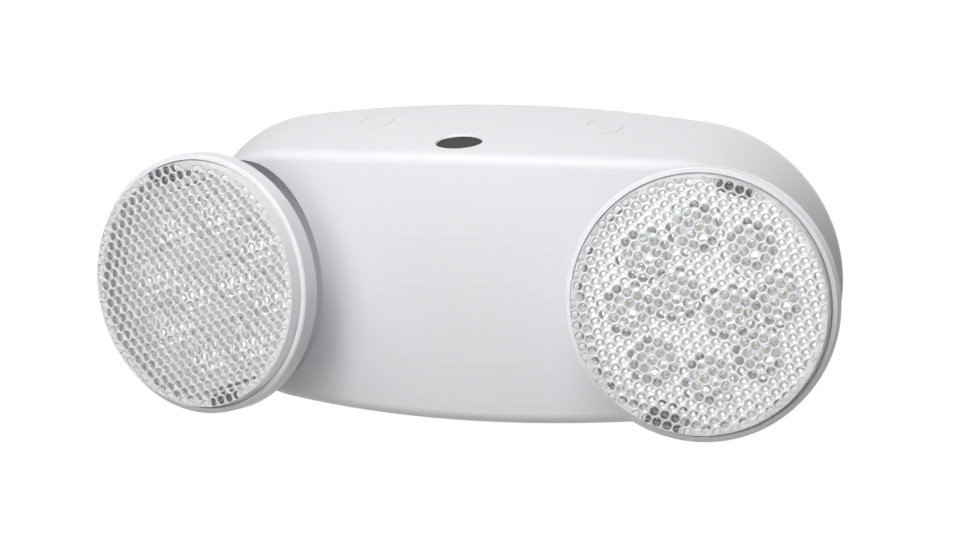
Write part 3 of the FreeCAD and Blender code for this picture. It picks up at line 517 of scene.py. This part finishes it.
def lamp_places(head):
    """The two middle lamps and the ring round them, in the head's frame."""
    places = [Vector((head.inner_lamp_offset * way, 0.0, 0.0)) for way in (-1, 1)]
    for index in range(head.ring_lamps):
        angle = (index + 0.5) * math.tau / head.ring_lamps
        places.append(Vector((math.cos(angle), math.sin(angle), 0.0)) * head.lamp_ring_radius)
    return places


def lamp_shapes(head):
    """White packages, each with a small yellow phosphor dome in its middle."""
    packages = bmesh.new()
    domes = bmesh.new()
    flat = Matrix.Diagonal((1.0, 1.0, PHOSPHOR_RISE, 1.0))
    for place in lamp_places(head):
        middle = place + Z_AXIS * (head.lamp_seat + head.lamp_height / 2)
        add_box(packages, middle, head.lamp_side, head.lamp_side, head.lamp_height)
        top = place + Z_AXIS * (head.lamp_seat + head.lamp_height)
        bmesh.ops.create_uvsphere(domes, u_segments=16, v_segments=8, radius=head.phosphor_radius,
                                  matrix=Matrix.Translation(top) @ flat)
    bmesh.ops.bevel(packages, geom=packages.edges[:], offset=head.lamp_height * PACKAGE_ROUNDING,
                    segments=2, profile=0.5, affect="EDGES", material=-1)
    return packages, domes


class EMLIGHT_OT_reflectors(Operator):
    """Finish the metallised reflectors, the lamps and their boards"""

    bl_idname = "emlight.reflectors"
    bl_label = "Reflectors and lamps"

    def execute(self, context):
        silver = moulded("Metallised plastic", (0.76, 0.77, 0.77), 0.25, grain=600.0,
                         depth=0.01 * MM, Metallic=1.0)
        lamp = moulded("Lamp package", (0.80, 0.80, 0.78), 0.3)
        phosphor = moulded("Lamp phosphor", (0.80, 0.72, 0.12), 0.3)
        board = moulded("Lamp board", (0.72, 0.73, 0.72), 0.4)
        for side in SIDES:
            coat(f"reflector_{side}", silver)
            coat(f"led_board_{side}", board)
            packages, domes = lamp_shapes(context.scene.lamp_head)
            packages.transform(head_matrix(side))
            lamps = object_from(packages, f"lamps_{side}", f"{side}_head", "led_phosphor", lamp)
            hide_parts(f"leds_{side}")
            domes.transform(head_matrix(side))
            object_from(domes, f"phosphor_{side}", f"{side}_head", "led_phosphor", phosphor)
        return {"FINISHED"}


# Test button
class EMLIGHT_OT_button(Operator):
    """Finish the dark oval test button"""

    bl_idname = "emlight.button"
    bl_label = "Test button"

    def execute(self, context):
        dark = moulded("Button charcoal", context.scene.housing.button_color, 0.45, drift=0.3,
                       grain=400.0, depth=0.06 * MM, Specular_IOR_Level=0.2)
        coat("test_button", dark)
        return {"FINISHED"}


# Inner works
# Each finish with its colour, roughness and metallic value, and the nodes that have it
WORKS = (
    ("Zinc-plated steel", (0.60, 0.60, 0.61), 0.3, 1.0,
     ("battery_strap", "battery_strap_screws", "control_board_screws", "switch_board_screws",
      "led_board_screws_left", "led_board_screws_right", "tilt_pin_left", "tilt_pin_right")),
    ("Solder mask", (0.05, 0.22, 0.11), 0.35, 0.0, ("control_board", "switch_board")),
    ("Black nylon", (0.03, 0.03, 0.03), 0.5, 0.0,
     ("switch_plunger", "test_switch", "friction_washer_left", "friction_washer_right")),
    ("Tinted lamp", (0.60, 0.05, 0.04), 0.15, 0.0, ("status_led",)),
    ("Battery wrap", (0.08, 0.25, 0.50), 0.25, 0.0, ("battery_pack",)),
    ("Varnished iron", (0.10, 0.10, 0.11), 0.4, 0.0, ("transformer_core",)),
    ("Enamelled copper", (0.72, 0.38, 0.20), 0.3, 1.0, ("transformer_winding",)),
    ("Capacitor sleeve", (0.03, 0.03, 0.05), 0.3, 0.0, ("capacitors",)),
    ("Relay case", (0.05, 0.08, 0.20), 0.3, 0.0, ("relay",)),
    ("Terminal nylon", (0.10, 0.35, 0.20), 0.45, 0.0, ("terminal_block",)),
)


class EMLIGHT_OT_works(Operator):
    """Finish the pieces inside the housing"""

    bl_idname = "emlight.works"
    bl_label = "Inner works"

    def execute(self, context):
        for name, color, roughness, metallic, nodes in WORKS:
            material = moulded(name, color, roughness, Metallic=metallic)
            for node in nodes:
                coat(node, material)
        return {"FINISHED"}


# Studio
WHITE = (1.0, 1.0, 1.0, 1.0)
WORLD_FILL = 0.05
# From the middle of the floor to its edge
FLOOR_REACH = 6.0
# In millimetres, as the camera's own settings are
SENSOR_WIDTH = 36.0
# What the softboxes face
LIT_POINT = Vector((0.0, -0.05, 0.0))
# Each softbox with its place, its width and height, and its power in watts
SOFTBOXES = (
    ("key", (0.1, -0.5, 0.65), (0.4, 0.3), 3.7),
    ("front", (-0.2, -1.5, 0.3), (0.9, 0.9), 5.4),
    ("near", (-0.15, -0.35, 0.42), (0.4, 0.25), 1.0),
    ("back", (0.4, 1.4, 0.5), (0.9, 0.9), 9.0),
)


def camera_axes(studio):
    """Right, up and backward directions of the camera."""
    cos_el, sin_el = math.cos(studio.elevation), math.sin(studio.elevation)
    back = Vector((math.sin(studio.azimuth) * cos_el, -math.cos(studio.azimuth) * cos_el, sin_el))
    level = Vector((math.cos(studio.azimuth), math.sin(studio.azimuth), 0.0))
    rise = back.cross(level)
    cos_roll, sin_roll = math.cos(studio.roll), math.sin(studio.roll)
    return level * cos_roll + rise * sin_roll, rise * cos_roll - level * sin_roll, back


def add_camera(studio):
    """The camera of the photo."""
    right, up, back = camera_axes(studio)
    data = bpy.data.cameras.new("camera")
    data.lens = studio.focal_length
    data.sensor_width = SENSOR_WIDTH
    camera = bpy.data.objects.new("camera", data)
    spot = Vector(studio.target) + back * studio.distance
    basis = Matrix((right, up, back)).transposed().to_4x4()
    camera.matrix_world = Matrix.Translation(spot) @ basis
    bpy.context.scene.collection.objects.link(camera)
    bpy.context.scene.camera = camera


def add_softbox(name, spot, size, watts):
    """A rectangular area light that faces the lit point."""
    data = bpy.data.lights.new(name, "AREA")
    data.shape = "RECTANGLE"
    data.size, data.size_y = size
    data.energy = watts
    lamp = bpy.data.objects.new(name, data)
    lamp.location = spot
    toward = LIT_POINT - Vector(spot)
    lamp.rotation_euler = toward.to_track_quat("-Z", "Y").to_euler()
    bpy.context.scene.collection.objects.link(lamp)


def white_backdrop(tree):
    """A value that is 1 where the backdrop is seen directly, mirrored or through glass."""
    path = tree.nodes.new("ShaderNodeLightPath")
    seen = path.outputs["Is Camera Ray"]
    for ray in ("Is Glossy Ray", "Is Transmission Ray"):
        either = add_node(tree, "ShaderNodeMath", operation="MAXIMUM")
        tree.links.new(seen, either.inputs[0])
        tree.links.new(path.outputs[ray], either.inputs[1])
        seen = either.outputs[0]
    return seen


def put_out(tree, lighting, seen, output_kind):
    """Wires the seen shader to the output where the backdrop is seen, and the lighting elsewhere."""
    mix = tree.nodes.new("ShaderNodeMixShader")
    output = tree.nodes.new(output_kind)
    tree.links.new(white_backdrop(tree), mix.inputs[0])
    tree.links.new(lighting.outputs[0], mix.inputs[1])
    tree.links.new(seen.outputs[0], mix.inputs[2])
    tree.links.new(mix.outputs[0], output.inputs["Surface"])


def add_world():
    """Plain white where the backdrop is seen, and a faint fill for the light on the object."""
    world = bpy.data.worlds.new("studio")
    bpy.context.scene.world = world
    world.use_nodes = True
    tree = world.node_tree
    tree.nodes.clear()
    fill = add_node(tree, "ShaderNodeBackground", Color=WHITE, Strength=WORLD_FILL)
    seen = add_node(tree, "ShaderNodeBackground", Color=WHITE, Strength=1.0)
    put_out(tree, fill, seen, "ShaderNodeOutputWorld")


def add_floor(studio):
    """A floor that throws light back up and looks as white as the backdrop."""
    material = new_material("Studio floor")
    tree = material.node_tree
    paint = add_node(tree, "ShaderNodeBsdfDiffuse", Color=(0.8, 0.8, 0.8, 1.0))
    glow = add_node(tree, "ShaderNodeEmission", Color=WHITE, Strength=1.0)
    put_out(tree, paint, glow, "ShaderNodeOutputMaterial")
    bm = bmesh.new()
    bmesh.ops.create_grid(bm, x_segments=1, y_segments=1, size=FLOOR_REACH)
    bmesh.ops.translate(bm, verts=bm.verts, vec=(0, 0, -studio.floor_drop))
    mesh = bpy.data.meshes.new("floor")
    bm.to_mesh(mesh)
    bm.free()
    mesh.materials.append(material)
    floor = bpy.data.objects.new("floor", mesh)
    bpy.context.scene.collection.objects.link(floor)


class EMLIGHT_OT_studio(Operator):
    """Set up the floor, the soft light, the camera and the plain view transform"""

    bl_idname = "emlight.studio"
    bl_label = "Studio"

    def execute(self, context):
        studio = context.scene.studio
        add_camera(studio)
        add_world()
        add_floor(studio)
        for name, spot, size, watts in SOFTBOXES:
            add_softbox(name, spot, size, watts)
        context.scene.view_settings.view_transform = "Standard"
        return {"FINISHED"}


# Add-on
class EMLIGHT_PT_panel(Panel):
    """Lists the settings and the steps"""

    bl_label = "Emergency light"
    bl_idname = "EMLIGHT_PT_panel"
    bl_space_type = "VIEW_3D"
    bl_region_type = "UI"
    bl_category = "Light"

    def draw(self, context):
        for group in (context.scene.housing, context.scene.lamp_head, context.scene.studio):
            column = self.layout.column()
            for name in group.__annotations__:
                column.prop(group, name)
        for step in STEPS:
            self.layout.operator(step.bl_idname)


STEPS = (EMLIGHT_OT_shells, EMLIGHT_OT_reflectors, EMLIGHT_OT_lenses, EMLIGHT_OT_button,
         EMLIGHT_OT_works, EMLIGHT_OT_studio)
CLASSES = (HousingSettings, HeadSettings, StudioSettings, *STEPS, EMLIGHT_PT_panel)


def register():
    for kind in CLASSES:
        bpy.utils.register_class(kind)
    bpy.types.Scene.housing = PointerProperty(type=HousingSettings)
    bpy.types.Scene.lamp_head = PointerProperty(type=HeadSettings)
    bpy.types.Scene.studio = PointerProperty(type=StudioSettings)


def unregister():
    del bpy.types.Scene.studio
    del bpy.types.Scene.lamp_head
    del bpy.types.Scene.housing
    for kind in reversed(CLASSES):
        bpy.utils.unregister_class(kind)


def main():
    register()
    bpy.ops.emlight.shells()
    bpy.ops.emlight.reflectors()
    bpy.ops.emlight.lenses()
    bpy.ops.emlight.button()
    bpy.ops.emlight.works()
    bpy.ops.emlight.studio()


if __name__ == "__main__":
    main()
